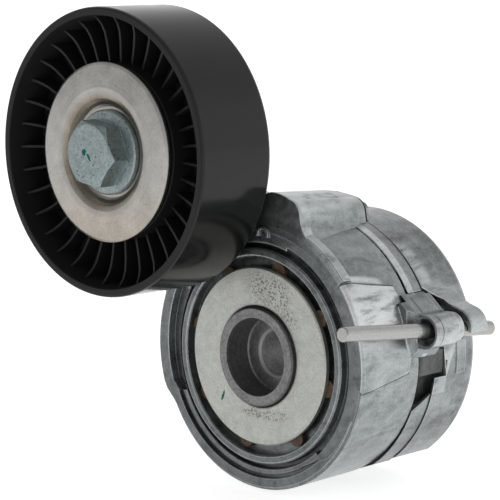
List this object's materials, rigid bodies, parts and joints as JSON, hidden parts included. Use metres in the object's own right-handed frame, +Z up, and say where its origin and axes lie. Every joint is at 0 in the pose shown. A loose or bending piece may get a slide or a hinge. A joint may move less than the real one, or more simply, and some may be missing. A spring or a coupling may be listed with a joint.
{
  "type": "belt tensioner with idler pulley",
  "caption": "Spring-loaded belt tensioner: die-cast arm on a pivot tube, smooth ribbed idler pulley on a ball bearing, and a lock pin.",
  "frame": {"origin": "centre of the mounting bore at the rear mounting face", "axes": "+Y along the pivot axis, back into the engine; +Z up; +X to the right seen from the front"},
  "size_m": [0.1141, 0.0839, 0.1278],
  "materials": {
    "cast_aluminium": "matt die-cast skin with brighter trimmed patches",
    "pivot_steel": "turned and phosphated",
    "plate_steel": "satin, fine ground, with small pits",
    "shield_steel": "satin plated sheet",
    "bolt_zinc": "dull zinc plating",
    "pin_steel": "drawn bright steel",
    "spring_steel": "oil-tempered",
    "bearing_steel": "ground",
    "pulley_black": "glossy glass-filled polyamide",
    "sleeve_black": "moulded polyamide",
    "washer_brown": "moulded friction polymer",
    "bush_polymer": "moulded bearing polymer",
    "seal_rubber": "matt nitrile rubber"
  },
  "bodies": {
    "base": {"spring_case": "cast_aluminium", "pivot_tube": "pivot_steel", "front_plate": "plate_steel", "rear_thrust_ring": "bush_polymer", "locating_dowel": "pin_steel", "torsion_spring": "spring_steel"},
    "swing_arm": {"arm": "cast_aluminium", "pivot_bushing": "bush_polymer", "thrust_washer": "washer_brown", "damping_sleeve": "sleeve_black", "thread_insert": "pin_steel", "pulley_bolt": "bolt_zinc", "front_dust_shield": "shield_steel", "rear_dust_shield": "shield_steel", "bearing_inner_race": "bearing_steel"},
    "idler": {"pulley": "pulley_black", "bearing_outer_race": "bearing_steel", "front_bearing_seal": "seal_rubber", "rear_bearing_seal": "seal_rubber"},
    "ball_train": {"bearing_cage": "bush_polymer", "bearing_balls": "bearing_steel"},
    "pin": {"lock_pin": "pin_steel"}
  },
  "joints": [
    {"name": "arm_swing", "type": "hinge", "parent": "base", "child": "swing_arm", "pos_m": [0, 0, 0], "axis": [0, 1, 0], "range_deg": [0, 12], "stiffness_Nm_per_rad": 20, "springref_deg": -45.84},
    {"name": "pulley_spin", "type": "hinge", "parent": "swing_arm", "child": "idler", "pos_m": [-0.0315, -0.0625, 0.0535], "axis": [0, 1, 0], "continuous": true},
    {"name": "cage_spin", "type": "hinge", "parent": "swing_arm", "child": "ball_train", "pos_m": [-0.0315, -0.0641, 0.0535], "axis": [0, 1, 0], "continuous": true},
    {"name": "lock_pin_slide", "type": "slide", "parent": "swing_arm", "child": "pin", "axis": [0, -0.9954, 0.0958], "range_m": [0, 0.032]}
  ],
  "couplings": [
    {"joint": "cage_spin", "follows": "pulley_spin", "ratio": 0.618}
  ]
}
